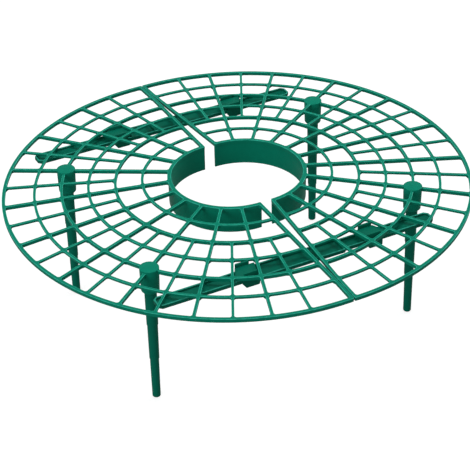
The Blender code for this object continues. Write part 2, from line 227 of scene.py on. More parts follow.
def along_bar(bar, side, first, last, away):
    """Points beside a bar between two rings, closer together where another ring meets it."""
    s = 0 if away is None else bar_half[bar] - away
    reach = ring_half + CELL_CORNER
    middle = [ring_radius[ring] + reach[ring] * ACROSS for ring in range(first + 1, last)]
    radii = filled_run([ring_radius[first] + reach[first], *middle,
                        ring_radius[last] - reach[last]], ALONG_BAR)
    return np.stack([radii, beside_bar(bar, side * s, radii), np.full(len(radii), bar_depth[bar])])


def opening_loop(ring, bar, span, away):
    """Closed loop round one opening: four corners and the four runs between them."""
    last = bar + span
    return np.concatenate([
        inner_corner(ring, bar, 1, 1, away),
        along_ring(ring, 1, bar, last, away),
        inner_corner(ring, last, 1, -1, away)[:, ::-1],
        along_bar(last, -1, ring, ring + 1, away),
        inner_corner(ring + 1, last, -1, -1, away),
        along_ring(ring + 1, -1, bar, last, away)[:, ::-1],
        inner_corner(ring + 1, bar, -1, 1, away)[:, ::-1],
        along_bar(bar, 1, ring, ring + 1, away)[:, ::-1]], axis=1)


print("points round one opening:", opening_loop(3, 4, 1, 0.0).shape[1])

# %% [markdown]
# The outside of the half is one more loop, round the rim, down one edge bar, back along the collar and up the
# other edge bar. Its four corners stick out instead of in, so they get a rounding of their own.

# %% Loop round the outside
OUTER_ROUND = 0.0008


def outer_corner(ring, bar, out, along, away):
    """Corner of the half, from the ring to the bar: straight, then a quarter circle, then straight again."""
    share = np.linspace(1, -1, CORNER_STEPS + 1)
    reach_s = bar_half[bar] + CELL_CORNER
    reach_t = ring_half[ring] + CELL_CORNER
    if away is None:
        s = -reach_s * np.clip(share, 0, 1)
        t = -reach_t * np.clip(-share, 0, 1)
    else:
        turn = np.linspace(0, math.pi / 2, CORNER_STEPS - 1)
        s = bar_half[bar] - OUTER_ROUND + (OUTER_ROUND - away) * np.sin(turn)
        t = ring_half[ring] - OUTER_ROUND + (OUTER_ROUND - away) * np.cos(turn)
        s = np.concatenate([[-reach_s], s, [bar_half[bar] - away]])
        t = np.concatenate([[ring_half[ring] - away], t, [-reach_t]])
    radius = ring_radius[ring] + out * t
    depth = np.full(len(s), max(ring_depth[ring], bar_depth[bar]))
    return np.stack([radius, beside_bar(bar, along * s, radius), depth])


def outside_loop(away):
    """Closed loop round the half: rim, last edge bar, collar, first edge bar."""
    return np.concatenate([
        outer_corner(BAYS, 0, 1, -1, away)[:, ::-1],
        along_ring(BAYS, 1, 0, SECTORS, away),
        outer_corner(BAYS, SECTORS, 1, 1, away),
        along_bar(SECTORS, 1, 0, BAYS, away)[:, ::-1],
        outer_corner(0, SECTORS, -1, 1, away)[:, ::-1],
        along_ring(0, -1, 0, SECTORS, away)[:, ::-1],
        outer_corner(0, 0, -1, -1, away),
        along_bar(0, -1, 0, BAYS, away)], axis=1)


print("points round the outside:", outside_loop(0.0).shape[1])

# %% [markdown]
# The rib section is a list of rows. Each row says how far the loop stands away from the moulded face and how
# far below the top or above the underside it lies. The same rows serve the openings and the outside. A last
# number says how much painted highlight a row carries: only the rounded top edge carries it, and a plain row
# close to it on either side keeps that painted highlight from spreading over the flat faces. The four angles
# of the top edge serve the quarter circles of the collar and the connectors too.

# %% Rib section and skin of the grid
TOP_EDGE = 0.00028
LOW_EDGE = 0.00015
DRAFT = 0.0001
HIGHLIGHT_MARGIN = 0.00012
QUARTER = np.linspace(0, math.pi / 2, 4)
# The rows of the rounded top edge carry a painted highlight, in these shares.
TOP_HIGHLIGHT = (0.7, 1.0, 1.0, 0.3)
LOW_TURNS = (90, 45, 0)


def section_rows():
    """Rows as (distance from the face, measured from top 1 or underside 0, height step, painted highlight)."""
    rows = [(None, 1, 0.0, 0.0), (TOP_EDGE + HIGHLIGHT_MARGIN, 1, 0.0, 0.0)]
    for turn, rub in zip(QUARTER, TOP_HIGHLIGHT):
        rows.append((TOP_EDGE * (1 - math.sin(turn)), 1, -TOP_EDGE * (1 - math.cos(turn)), rub))
    rows.append((0.0, 1, -TOP_EDGE - HIGHLIGHT_MARGIN, 0.0))
    for turn in np.radians(LOW_TURNS):
        rows.append((DRAFT + LOW_EDGE * (1 - math.sin(turn)), 0, LOW_EDGE * (1 - math.cos(turn)), 0.0))
    return rows + [(None, 0, 0.0, 0.0)]


def skin(loop_at):
    """One row of points for each row of the section, at the cone's height or the rib's depth below it."""
    layers = []
    for away, from_top, step, _ in section_rows():
        radius, angle, depth = loop_at(away)
        height = cone_height(radius) + step - (0 if from_top else depth)
        layers.append(np.stack([radius * np.cos(angle), radius * np.sin(angle), height], axis=1))
    return np.stack(layers)


def grid_faces(rows, columns):
    """Quads between neighbouring points of closed rows, the last point of each next to its first."""
    row, column = np.mgrid[0:rows - 1, 0:columns]
    after = (column + 1) % columns
    quads = np.stack([row * columns + column, (row + 1) * columns + column,
                      (row + 1) * columns + after, row * columns + after], axis=-1)
    return quads.reshape(-1, 4)


class Skin:
    """Collects surfaces into one list of points, one list of faces and one painted highlight value for each
    point.
    """

    def __init__(self):
        self.points, self.faces, self.rub, self.count = [], [], [], 0

    def add(self, points, blocks, rub=0.0):
        """Adds a surface. Each block is an array of faces, which count the surface's points from zero."""
        points = np.asarray(points).reshape(-1, 3)
        self.points.append(points)
        self.rub.append(np.broadcast_to(rub, len(points)))
        for block in blocks:
            self.faces += (np.asarray(block) + self.count).tolist()
        self.count += len(points)

    def add_grid(self, layers, caps=(), rub=0.0):
        """Adds closed rows of points with quads between them, and a flat face on each row named in caps."""
        rows, columns = layers.shape[:2]
        ends = np.array(caps, dtype=int)[:, None] * columns + np.arange(columns)
        self.add(layers, [grid_faces(rows, columns), ends], np.repeat(np.broadcast_to(rub, rows), columns))

    def moved(self, shift, half_turn=False):
        """All points, first turned half round the Z axis where asked, then shifted."""
        return np.concatenate(self.points) * ((-1, -1, 1) if half_turn else 1) + shift


def build_ribs(target):
    """Tiles of all openings and the outside, with wide openings where every second bar stops short."""
    # Every point of a tile takes the painted highlight share of its section row.
    rub = [row[-1] for row in section_rows()]
    for ring in range(BAYS):
        span = 2 if ring < OPEN_BAYS else 1
        for bar in range(0, SECTORS, span):
            target.add_grid(skin(lambda away: opening_loop(ring, bar, span, away)), rub=rub)
    target.add_grid(skin(outside_loop), rub=rub)


half = Skin()
build_ribs(half)
print("ribs of one half:", half.count, "points,", len(half.faces), "faces")

# %% [markdown]
# The collar keeps leaves off the crown. It is a thin wall that hangs from the innermost ring. Its section is
# a closed outline with rounded lower edges, carried round the half circle and capped in the plane of the
# seam.

# %% Collar wall
COLLAR_HEIGHT = 0.0185
COLLAR_WALL = 0.0015
COLLAR_STEPS = 72
OVERLAP = 0.0006
WALL_EDGE = 0.0004
COLLAR_DRAFT = 0.00012
COLLAR_END_INSET = 0.00025


def collar_section():
    """Closed outline of radius and height: straight sides with draft, quarter circles at the foot."""
    top = cone_height(COLLAR_RADIUS) - OVERLAP
    foot = cone_height(COLLAR_RADIUS) - COLLAR_HEIGHT
    half_wall = COLLAR_WALL / 2 - COLLAR_DRAFT
    across = half_wall - WALL_EDGE + WALL_EDGE * np.cos(QUARTER)
    down = foot + WALL_EDGE - WALL_EDGE * np.sin(QUARTER)
    outer = np.array([(COLLAR_WALL / 2, top), (COLLAR_WALL / 2, top - DEEP_RIB), *zip(across, down)])
    return np.concatenate([outer, outer[::-1] * (-1, 1)]) + (COLLAR_RADIUS, 0)


def build_collar(target):
    """Section carried round to just short of the outer faces of both edge bars."""
    section = collar_section()
    inset = EDGE_BAR_WIDTH / 2 - COLLAR_END_INSET
    start = beside_bar(0, -inset, section[:, 0])
    end = beside_bar(SECTORS, inset, section[:, 0])
    share = np.linspace(0, 1, COLLAR_STEPS + 1)[:, None]
    angle = start + (end - start) * share
    layers = np.stack([section[:, 0] * np.cos(angle), section[:, 0] * np.sin(angle),
                       np.broadcast_to(section[:, 1], angle.shape)], axis=-1)
    target.add_grid(layers, caps=(0, COLLAR_STEPS))


build_collar(half)
print("collar:", round(COLLAR_HEIGHT * 1000, 1), "mm high,", round(COLLAR_WALL * 1000, 1), "mm thick")

# %% [markdown]
# Sockets and legs are turned shapes. A profile of radius and height runs from the axis down the outside and
# back to the axis, and is carried round a full circle. The two ends of the profile lie on the axis and become
# poles, where the faces close in a fan.

# %% Turned shapes and sockets
ROUND_SIDES = 56
SOCKET_RING = 4
SOCKET_BARS = (6, 14)
SOCKET_HEIGHT = 0.0180
SOCKET_RADIUS = 0.0062
SOCKET_TAPER = 0.0004
SOCKET_CHAMFER = 0.0014
SOCKET_PROUD = 0.0005
ROOF_MARGIN = 0.0003
BORE_RADIUS = 0.0034
SOCKET_EDGE = 0.00035
BEND_STEPS = 3
BEND_SHARE = 0.45


def rounded(profile, edge):
    """Profile with each inner corner replaced by a small arc: the quadratic curve tangent to both sides."""
    points = np.array(profile, dtype=float)
    before = points[:-2] - points[1:-1]
    after = points[2:] - points[1:-1]
    long_before, long_after = np.linalg.norm(before, axis=1), np.linalg.norm(after, axis=1)
    reach = np.minimum(edge, BEND_SHARE * np.minimum(long_before, long_after))
    start = points[1:-1] + before / long_before[:, None] * reach[:, None]
    end = points[1:-1] + after / long_after[:, None] * reach[:, None]
    t = np.linspace(0, 1, BEND_STEPS + 1)[None, :, None]
    bends = (1 - t) ** 2 * start[:, None] + 2 * t * (1 - t) * points[1:-1][:, None] + t ** 2 * end[:, None]
    return np.concatenate([points[:1], bends.reshape(-1, 2), points[-1:]])


def build_turned(target, profile, place=(0, 0)):
    """Point (r, z) of the profile goes to (r cos a, r sin a, z) for every angle a. Both ends are poles."""
    angle = np.linspace(0, 2 * math.pi, ROUND_SIDES, endpoint=False)
    radius, height = profile[1:-1, :1], profile[1:-1, 1:]
    across, along_y = radius * np.cos(angle) + place[0], radius * np.sin(angle) + place[1]
    layers = np.stack(np.broadcast_arrays(across, along_y, height), axis=-1)
    points = np.concatenate([layers.reshape(-1, 3), [(*place, profile[0, 1]), (*place, profile[-1, 1])]])
    column = np.arange(ROUND_SIDES)
    after = np.roll(column, -1)
    last_row = (len(layers) - 1) * ROUND_SIDES
    pole = np.full(ROUND_SIDES, last_row + ROUND_SIDES)
    top = np.stack([pole, column, after], axis=1)
    bottom = np.stack([pole + 1, last_row + after, last_row + column], axis=1)
    target.add(points, [grid_faces(len(layers), ROUND_SIDES), top, bottom])


socket_ring_radius = ring_radius[SOCKET_RING]
socket_top = cone_height(socket_ring_radius) + SOCKET_PROUD
bore_top = cone_height(socket_ring_radius + BORE_RADIUS) - DEEP_RIB - ROOF_MARGIN


def socket_profile():
    """Flat top, tapered outside, chamfered foot, then up the bore to its closed end."""
    bottom = socket_top - SOCKET_HEIGHT
    foot = SOCKET_RADIUS - SOCKET_TAPER
    return rounded([(0, socket_top), (SOCKET_RADIUS, socket_top), (foot, bottom + SOCKET_CHAMFER),
                    (foot - SOCKET_CHAMFER, bottom), (BORE_RADIUS, bottom), (BORE_RADIUS, bore_top),
                    (0, bore_top)], SOCKET_EDGE)


socket_turns = bar_direction[list(SOCKET_BARS)]
socket_places = socket_ring_radius * np.stack([np.cos(socket_turns), np.sin(socket_turns)], axis=1)
for place in socket_places:
    build_turned(half, socket_profile(), place)
print("socket places in the half, mm:", np.round(socket_places * 1000, 1).tolist())

# %% [markdown]
# The plastic is one green polypropylene, moulded in three tools, and the three materials differ only a little.
# The effects are shader groups that every material shares: a slow drift of tone, the fine grain of the tool's
# spark-eroded face, faint flow marks, and a painted highlight along the rounded top edges. Each group gives
# masks or values over the surface, and the shader itself stays in the material.

# %% Shader groups
# A noise is given as its scale, detail and roughness, and a band as its two ends.
HIGHLIGHT_ATTRIBUTE = "rub"
BROAD_NOISE = (14, 2, 0.5)
SMALL_NOISE = (180, 3, 0.6)
TONE_CENTRE = 0.35
TONE_GAIN = 3.0
GRAIN_NOISE = (5200, 2, 0.6)
PEEL_NOISE = (420, 1, 0.5)
FLOW_NOISE = (60, 4, 0.6)
FLOW_STRETCH = (1.0, 0.25, 3.0)
FLOW_BEND = 1.4
FLOW_BAND = (0.52, 0.72)
HIGHLIGHT_NOISE = (260, 3, 0.65)
HIGHLIGHT_BAND = (0.35, 0.60)
HIGHLIGHT_LEAST = 0.35
GLOSS_NOISE = (45, 3, 0.55)
NOISE_MIDDLE = 0.5
GLOSS_GAIN = 2.0


def new_group(name, output, kind="NodeSocketFloat", **inputs):
    """Node group with one output of this kind. An input is a colour where its default is a tuple."""
    group = bpy.data.node_groups.new(name, "ShaderNodeTree")
    for label, value in inputs.items():
        input_kind = "NodeSocketColor" if isinstance(value, tuple) else "NodeSocketFloat"
        group.interface.new_socket(label, in_out="INPUT", socket_type=input_kind).default_value = value
    group.interface.new_socket(output, in_out="OUTPUT", socket_type=kind)
    return group, group.nodes.new("NodeGroupInput"), group.nodes.new("NodeGroupOutput")


def add_node(tree, kind, **settings):
    """New node of a kind, with its settings."""
    node = tree.nodes.new(kind)
    for name, value in settings.items():
        setattr(node, name, value)
    return node


def set_inputs(node, values):
    """Sets inputs of a node by name."""
    for name, value in values.items():
        node.inputs[name].default_value = value


def link(tree, source, target):
    """Wire from an output to an input."""
    tree.links.new(source, target)


def object_noise(tree, scale, detail, roughness, stretch=(1.0, 1.0, 1.0), bend=0.0):
    """Noise on Object coordinates, stretched and bent where a pattern has a direction."""
    place = add_node(tree, "ShaderNodeTexCoord")
    mapping = add_node(tree, "ShaderNodeMapping")
    noise = add_node(tree, "ShaderNodeTexNoise")
    link(tree, place.outputs["Object"], mapping.inputs["Vector"])
    link(tree, mapping.outputs["Vector"], noise.inputs["Vector"])
    set_inputs(mapping, {"Scale": stretch})
    set_inputs(noise, {"Scale": scale, "Detail": detail, "Roughness": roughness, "Distortion": bend})
    return noise.outputs["Fac"]


def math_node(tree, operation, first, second):
    """Operation on two values, each a socket or a number."""
    node = add_node(tree, "ShaderNodeMath", operation=operation)
    for socket, value in zip(node.inputs, (first, second)):
        if isinstance(value, (int, float)):
            socket.default_value = value
        else:
            link(tree, value, socket)
    return node.outputs[0]


def band_node(tree, value, band, least=0.0):
    """Value brought from between the two ends of a band to between least and one."""
    node = add_node(tree, "ShaderNodeMapRange", clamp=True)
    link(tree, value, node.inputs["Value"])
    set_inputs(node, {"From Min": band[0], "From Max": band[1], "To Min": least})
    return node.outputs["Result"]


def mix_colours(tree, weight, first, second):
    """First colour, a socket, turned towards the second, a socket or three numbers, by the weight."""
    node = add_node(tree, "ShaderNodeMix", data_type="RGBA", clamp_factor=True)
    link(tree, weight, node.inputs["Factor"])
    link(tree, first, node.inputs["A"])
    if isinstance(second, tuple):
        node.inputs["B"].default_value = (*second, 1)
    else:
        link(tree, second, node.inputs["B"])
    return node.outputs["Result"]


def build_tone_group():
    """Colour that drifts between a deeper and a fresher tone: one broad noise and one a few mm across."""
    group, source, sink = new_group("tone_drift", "Colour", "NodeSocketColor", Colour=(0.1, 0.5, 0.3, 1),
                                    Deep=(0.05, 0.3, 0.2, 1), Amount=0.3)
    noises = math_node(group, "ADD", object_noise(group, *BROAD_NOISE), object_noise(group, *SMALL_NOISE))
    mean = math_node(group, "DIVIDE", noises, 2)
    centred = math_node(group, "MULTIPLY", math_node(group, "SUBTRACT", mean, TONE_CENTRE), TONE_GAIN)
    weight = math_node(group, "MULTIPLY", centred, source.outputs["Amount"])
    mixed = mix_colours(group, weight, source.outputs["Colour"], source.outputs["Deep"])
    link(group, mixed, sink.inputs["Colour"])
    return group


def build_grain_group():
    """Height of the tool's grain: fine noise plus a soft orange peel twelve times as wide."""
    group, source, sink = new_group("tool_grain", "Height", Grain=0.5, Peel=0.5)
    fine = math_node(group, "MULTIPLY", object_noise(group, *GRAIN_NOISE), source.outputs["Grain"])
    peel = math_node(group, "MULTIPLY", object_noise(group, *PEEL_NOISE), source.outputs["Peel"])
    link(group, math_node(group, "ADD", fine, peel), sink.inputs["Height"])
    return group


def build_flow_group():
    """Faint flow marks: stretched noise, bent, and sharpened to a few soft streaks."""
    group, source, sink = new_group("flow_marks", "Mask", Strength=0.5)
    streaks = band_node(group, object_noise(group, *FLOW_NOISE, FLOW_STRETCH, FLOW_BEND), FLOW_BAND)
    link(group, math_node(group, "MULTIPLY", streaks, source.outputs["Strength"]), sink.inputs["Mask"])
    return group


def build_rub_group():
    """Painted highlight on raised edges: the mark that the mesh carries there, broken up by noise."""
    group, source, sink = new_group("edge_rub", "Mask", Strength=0.5)
    edge = add_node(group, "ShaderNodeAttribute", attribute_name=HIGHLIGHT_ATTRIBUTE)
    patchy = band_node(group, object_noise(group, *HIGHLIGHT_NOISE), HIGHLIGHT_BAND, HIGHLIGHT_LEAST)
    both = math_node(group, "MULTIPLY", edge.outputs["Fac"], patchy)
    link(group, math_node(group, "MULTIPLY", both, source.outputs["Strength"]), sink.inputs["Mask"])
    return group


def build_gloss_group():
    """Roughness that changes in soft patches, as where a tool face is more worn or a hand has polished it."""
    group, source, sink = new_group("gloss_patches", "Roughness", Roughness=0.4, Spread=0.1)
    centred = math_node(group, "SUBTRACT", object_noise(group, *GLOSS_NOISE), NOISE_MIDDLE)
    change = math_node(group, "MULTIPLY", centred, source.outputs["Spread"])
    swing = math_node(group, "MULTIPLY", change, GLOSS_GAIN)
    link(group, math_node(group, "ADD", source.outputs["Roughness"], swing), sink.inputs["Roughness"])
    return group


groups = {"tone": build_tone_group(), "grain": build_grain_group(), "flow": build_flow_group(),
          "rub": build_rub_group(), "gloss": build_gloss_group()}
print("shader groups:", sorted(groups))

# %% [markdown]
# The halves, the legs and the connectors have slightly different greens: the legs are darker than the halves,
# and the connectors darker still, as painted shade for the shade they lie in beneath the grid. One function
# builds all three materials from the shared groups, so a change of finish reaches every piece. They keep very
# little shine, because this plastic is satin and shows no sharp reflections.

# %% Green plastics
SPECULAR_LEVEL = 0.05
TONE_AMOUNT = 0.45
FLOW_STRENGTH = 0.22
# Strength of the painted highlight on the rounded edges.
HIGHLIGHT_STRENGTH = 0.80
GLOSS_SPREAD = 0.10
GRAIN_SHARE = 0.35
PEEL_SHARE = 0.65
BUMP_DISTANCE = 0.00006


def new_material(name):
    """Material, its node tree and its Principled shader."""
    material = bpy.data.materials.new(name)
    material.use_nodes = True
    return material, material.node_tree, material.node_tree.nodes["Principled BSDF"]


def use_group(tree, group, **values):
    """Output of a shader group that is placed in a material with its own values."""
    node = add_node(tree, "ShaderNodeGroup")
    node.node_tree = group
    set_inputs(node, values)
    return node.outputs[0]


def moulded_plastic(name, colour, deep, rubbed, roughness, grain):
    """Principled shader: drifting colour, deeper streaks, a painted highlight on the edges, patchy gloss and a
    grain.
    """
    material, tree, shader = new_material(name)
    set_inputs(shader, {"Specular IOR Level": SPECULAR_LEVEL})
    tone = use_group(tree, groups["tone"], Colour=(*colour, 1), Deep=(*deep, 1), Amount=TONE_AMOUNT)
    flow = use_group(tree, groups["flow"], Strength=FLOW_STRENGTH)
    rub = use_group(tree, groups["rub"], Strength=HIGHLIGHT_STRENGTH)
    gloss = use_group(tree, groups["gloss"], Roughness=roughness, Spread=GLOSS_SPREAD)
    height = use_group(tree, groups["grain"], Grain=GRAIN_SHARE, Peel=PEEL_SHARE)
    bump = add_node(tree, "ShaderNodeBump")
    set_inputs(bump, {"Strength": grain, "Distance": BUMP_DISTANCE})
    streaked = mix_colours(tree, flow, tone, deep)
    link(tree, height, bump.inputs["Height"])
    link(tree, mix_colours(tree, rub, streaked, rubbed), shader.inputs["Base Color"])
    link(tree, gloss, shader.inputs["Roughness"])
    link(tree, bump.outputs["Normal"], shader.inputs["Normal"])
    return material


# The pale colour given for the edges of each material is a painted highlight.
GRID_GREEN = moulded_plastic("grid_green", colour=(0.001, 0.218, 0.137), deep=(0.001, 0.167, 0.104),
                             rubbed=(0.05, 0.56, 0.41), roughness=0.38, grain=0.5)
LEG_GREEN = moulded_plastic("leg_green", colour=(0.001, 0.160, 0.102), deep=(0.001, 0.128, 0.080),
                            rubbed=(0.04, 0.44, 0.32), roughness=0.44, grain=0.6)
# The connectors' green is darkened as painted shade, for the shade they lie in beneath the grid.
CONNECTOR_GREEN_PAINTED_SHADE = moulded_plastic("connector_green", colour=(0.001, 0.145, 0.091), deep=(0.001, 0.110, 0.069),
                                  rubbed=(0.04, 0.42, 0.31), roughness=0.42, grain=0.5)
print("materials:", GRID_GREEN.name, LEG_GREEN.name, CONNECTOR_GREEN_PAINTED_SHADE.name)

# %% [markdown]
# A finished skin becomes a mesh in one step. The shared centre lines are welded and the faces turned
# outwards, and edges sharper than the roundings stay sharp. Each piece then takes over from its imported solid:
# it rides on the same body and gets its own material, and the solid is hidden.

# %% Finish a piece
WELD = 0.000001
SHARP = math.radians(40)


def finished(name, surface, points, material, node, body):
    """Mesh of a skin, welded and turned outwards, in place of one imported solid."""
    mesh = bpy.data.meshes.new(name)
    mesh.from_pydata(points.tolist(), [], surface.faces)
    # The painted highlight share of every point goes on the mesh as an attribute for the shader.
    mesh.attributes.new(HIGHLIGHT_ATTRIBUTE, "FLOAT", "POINT").data.foreach_set("value", np.concatenate(surface.rub))
    shape = bmesh.new()
    shape.from_mesh(mesh)
    bmesh.ops.remove_doubles(shape, verts=shape.verts, dist=WELD)
    bmesh.ops.recalc_face_normals(shape, faces=shape.faces)
    open_edges = sum(not edge.is_manifold for edge in shape.edges)
    shape.to_mesh(mesh)
    shape.free()
    mesh.shade_smooth()
    mesh.set_sharp_from_angle(angle=SHARP)
    piece = add_object(name, mesh)
    mesh.materials.append(material)
    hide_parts(node)
    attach(piece, body)
    triangles = sum(len(face.vertices) - 2 for face in mesh.polygons)
    print(name + ":", len(mesh.vertices), "points,", triangles, "triangles,", open_edges, "open edges")


for side, sign in (("left", -1), ("right", 1)):
    points = half.moved((sign * HALF_OFFSET, 0, STAND_HEIGHT), half_turn=sign > 0)
    finished(f"{side}_half", half, points, GRID_GREEN, f"{side}_grid", "frame")

# %% [markdown]
# The legs taper in three steps, so that the lower lengths draw easily out of the tool. The profile has a
# small rounding at every shoulder and ends in a round tip with a flat that stands on the ground.

# %% Legs
PEG_CHAMFER = 0.0008
PEG_CLEARANCE = 0.0003
SEAT_GAP = 0.0003
LEG_STEPS = (0.0250, 0.0265)
LEG_RADII = (0.0039, 0.0034, 0.0029)
LEG_TAPER = 0.0002
TIP_ROUND = 0.0010
LEG_EDGE = 0.00022
TIP_TURNS = (18, 36, 54, 72, 90)

shoulder = socket_top - SOCKET_HEIGHT - SEAT_GAP


def leg_profile():
    """Peg, shoulder, and three lengths whose radius shrinks evenly, with quarter circles at the tip."""
    peg = BORE_RADIUS - PEG_CLEARANCE
    length = STAND_HEIGHT + shoulder
    top = bore_top - SEAT_GAP - shoulder
    outline = [(0, top), (peg - PEG_CHAMFER, top), (peg, top - PEG_CHAMFER), (peg, 0)]
    height = 0
    for drop, radius in zip(LEG_STEPS, LEG_RADII):
        outline += [(radius, height), (radius - LEG_TAPER, height - drop)]
        height -= drop
    radius = LEG_RADII[-1]
    outline.append((radius, height))
    smooth = rounded(outline + [(radius - LEG_TAPER, TIP_ROUND - length)], LEG_EDGE)
    angle = np.radians(TIP_TURNS)
    tip = np.stack([radius - LEG_TAPER - TIP_ROUND * (1 - np.cos(angle)),
                    TIP_ROUND * (1 - np.sin(angle)) - length], axis=1)
    return np.concatenate([smooth, tip, [(0, -length)]])


for row, (across, along_y) in zip(("back", "front"), socket_places):
    for side, sign in (("left", 1), ("right", -1)):
        stick = Skin()
        build_turned(stick, leg_profile(), (sign * (across - HALF_OFFSET), along_y))
        finished(f"{row}_{side}_stick", stick, stick.moved((0, 0, STAND_HEIGHT + shoulder)), LEG_GREEN,
                 f"leg_{row}_{side}", f"{row}_{side}_leg")

# %% [markdown]
# A connector is made of plates with rounded rims. A plate is an outline moved inwards row by row: each row
# says how far inwards and at which height. Corners are rounded in the plan too. The outline can be flat, or
# stand upright in the XZ plane. A flat face with holes is filled with triangles at a larger scale, beside
# which the tolerance of the filling stays small.

# %% Plates from outlines
FILL_SCALE = 1000
FILL_INSIDE = 1
FILL_TOLERANCE = 0.00001
ARC_STEPS = 4
LEAST_ROUND = 0.00005


def parallel_loop(corners, inset, rounding):
    """Polygon moved inwards and rounded: each arc's centre lies (inset + rounding) inside both its sides."""
    corners = np.asarray(corners, dtype=float)
    ahead = np.roll(corners, -1, axis=0) - corners
    ahead /= np.linalg.norm(ahead, axis=1)[:, None]
    after = np.stack([-ahead[:, 1], ahead[:, 0]], axis=1)
    before = np.roll(after, 1, axis=0)
    cross = before[:, 0] * after[:, 1] - before[:, 1] * after[:, 0]
    aside = np.stack([after[:, 1] - before[:, 1], before[:, 0] - after[:, 0]], axis=1) / cross[:, None]
    outward = np.where(cross > 0, 1, -1)
    reach = np.where(cross > 0, rounding, -rounding)
    centre = corners + (inset + reach)[:, None] * aside
    start = np.arctan2(-outward * before[:, 1], -outward * before[:, 0])
    end = np.arctan2(-outward * after[:, 1], -outward * after[:, 0])
    bend = (end - start + math.pi) % (2 * math.pi) - math.pi
    angle = start[:, None] + bend[:, None] * np.linspace(0, 1, ARC_STEPS + 1)
    arcs = centre[:, None] + rounding * np.stack([np.cos(angle), np.sin(angle)], axis=-1)
    return arcs.reshape(-1, 2)


def oblong(low, high, half_width):
    """Outline of a rectangle between two X positions, anticlockwise."""
    return [(low, -half_width), (high, -half_width), (high, half_width), (low, half_width)]


def slab_layers(corners, rows, corner_round, upright=False):
    """Rows of (inset, height) carried round an outline."""
    layers = []
    for inset, height in rows:
        loop = parallel_loop(corners, inset, max(corner_round - inset, LEAST_ROUND))
        layers.append(np.column_stack([loop, np.full(len(loop), height)]))
    layers = np.stack(layers)
    return layers[:, :, [0, 2, 1]] if upright else layers


def build_slab(target, corners, rows, corner_round, upright=False):
    """Plate whose first and last rows are closed by flat faces."""
    target.add_grid(slab_layers(corners, rows, corner_round, upright), caps=(0, len(rows) - 1))


def bend_rows(inset, height, across, up, wall_first=True):
    """Rows of a quarter circle between a wall at this inset and a flat face at this height."""
    first, second = (math.cos, math.sin) if wall_first else (math.sin, math.cos)
    return [(inset + across * (1 - first(a)), height + up * (1 - second(a))) for a in QUARTER]


def edge_rows(low, high, edge):
    """Rows of a plate with rounded rims: quarter circle out at the bottom, quarter circle in at the top."""
    return bend_rows(0, low, edge, edge, wall_first=False) + bend_rows(0, high, edge, -edge)


def add_pierced_face(target, outer, holes):
    """Flat face with holes: triangles between all loops, less those that lie inside a hole too."""
    loops = [outer, *holes]
    ends = np.cumsum([0] + [len(loop) for loop in loops])
    outlines = [list(range(start, end)) for start, end in zip(ends, ends[1:])]
    flat = (np.concatenate(loops)[:, :2] * FILL_SCALE).tolist()
    corners, _, triangles, _, _, origins = delaunay_2d_cdt(flat, [], outlines, FILL_INSIDE, FILL_TOLERANCE)
    corners = np.array(corners) / FILL_SCALE
    points = np.column_stack([corners, np.full(len(corners), outer[0, 2])])
    kept = [face for face, inside in zip(triangles, origins) if inside == [0]]
    target.add(points, [kept])


print("points round a four-sided plate:", len(parallel_loop(oblong(0, 1, 0.5), 0.1, 0.1)))

# %% [markdown]
# Both clips of a connector sit in a grid cell between two rings and two bars. The cell is a wedge, so the
# room in it is found by going round a few times: the bars limit how far the clip reaches in X at its
# outermost Y, and the rings limit how far it reaches in Y at its outermost X.

# %% Room for the clips
CLIP_RING = 3
CLIP_BAR = 2
CLIP_CLEARANCE = 0.0004
CLIP_WALL = 0.0014
SHORTEST_SIDE = 0.00001
SEAT_ROUNDS = 20

near_bar, far_bar = sector * CLIP_BAR, sector * (CLIP_BAR + 1)
bar_gap = BAR_WIDTH / 2 + CLIP_CLEARANCE
cell_inner = ring_radius[CLIP_RING] + RING_WIDTH / 2
cell_outer = ring_radius[CLIP_RING + 1] - RING_WIDTH / 2
near_x, far_x = cell_inner * math.sin(near_bar), cell_inner * math.sin(far_bar)
for _ in range(SEAT_ROUNDS):
    near_y = math.sqrt(cell_inner ** 2 - near_x ** 2) + CLIP_CLEARANCE
    far_y = math.sqrt(cell_outer ** 2 - far_x ** 2) - CLIP_CLEARANCE
    near_x = far_y * math.tan(near_bar) + bar_gap / math.cos(near_bar)
    far_x = near_y * math.tan(far_bar) - bar_gap / math.cos(far_bar)
near_clip = near_x + HALF_OFFSET
far_clip = far_x + HALF_OFFSET
clip_half = (far_y - near_y) / 2
connector_y = (near_y + far_y) / 2


def channel_plan(reach, inset):
    """Anticlockwise outline of a channel: a wedge between both bars and both rings, less its tight corners.

    X counts from the half's centre and Y from the middle of the clip. A point beside a bar at radius r has
    the angle bar + arcsin(gap / r). The inset moves all sides inwards but the two long ones, which keep
    their reach.
    """
    low, high = connector_y - reach, connector_y + reach
    gap = bar_gap + inset
    inner = cell_inner + CLIP_CLEARANCE + inset
    outer = cell_outer - CLIP_CLEARANCE - inset
    turns = np.array([near_bar + math.asin(gap / (inner + CELL_CORNER)),
                      far_bar - math.asin(gap / (outer - CELL_CORNER)),
                      far_bar - math.asin(gap / outer) - CELL_CORNER / outer])
    radii = np.array([inner + CELL_CORNER, outer - CELL_CORNER, outer])
    near_cut, far_cut, ring_cut = np.stack([radii * np.sin(turns), radii * np.cos(turns)], axis=1)
    ring_cut = far_cut + min(1, (high - far_cut[1]) / (ring_cut[1] - far_cut[1])) * (ring_cut - far_cut)
    corners = np.array([(math.sqrt(inner ** 2 - low ** 2), low),
                        (low * math.tan(far_bar) - gap / math.cos(far_bar), low),
                        far_cut,
                        ring_cut,
                        (min(math.sqrt(outer ** 2 - high ** 2), ring_cut[0]), high),
                        (high * math.tan(near_bar) + gap / math.cos(near_bar), high),
                        near_cut])
    steps = np.linalg.norm(corners - np.roll(corners, 1, axis=0), axis=1)
    return corners[steps > SHORTEST_SIDE] - (0, connector_y)


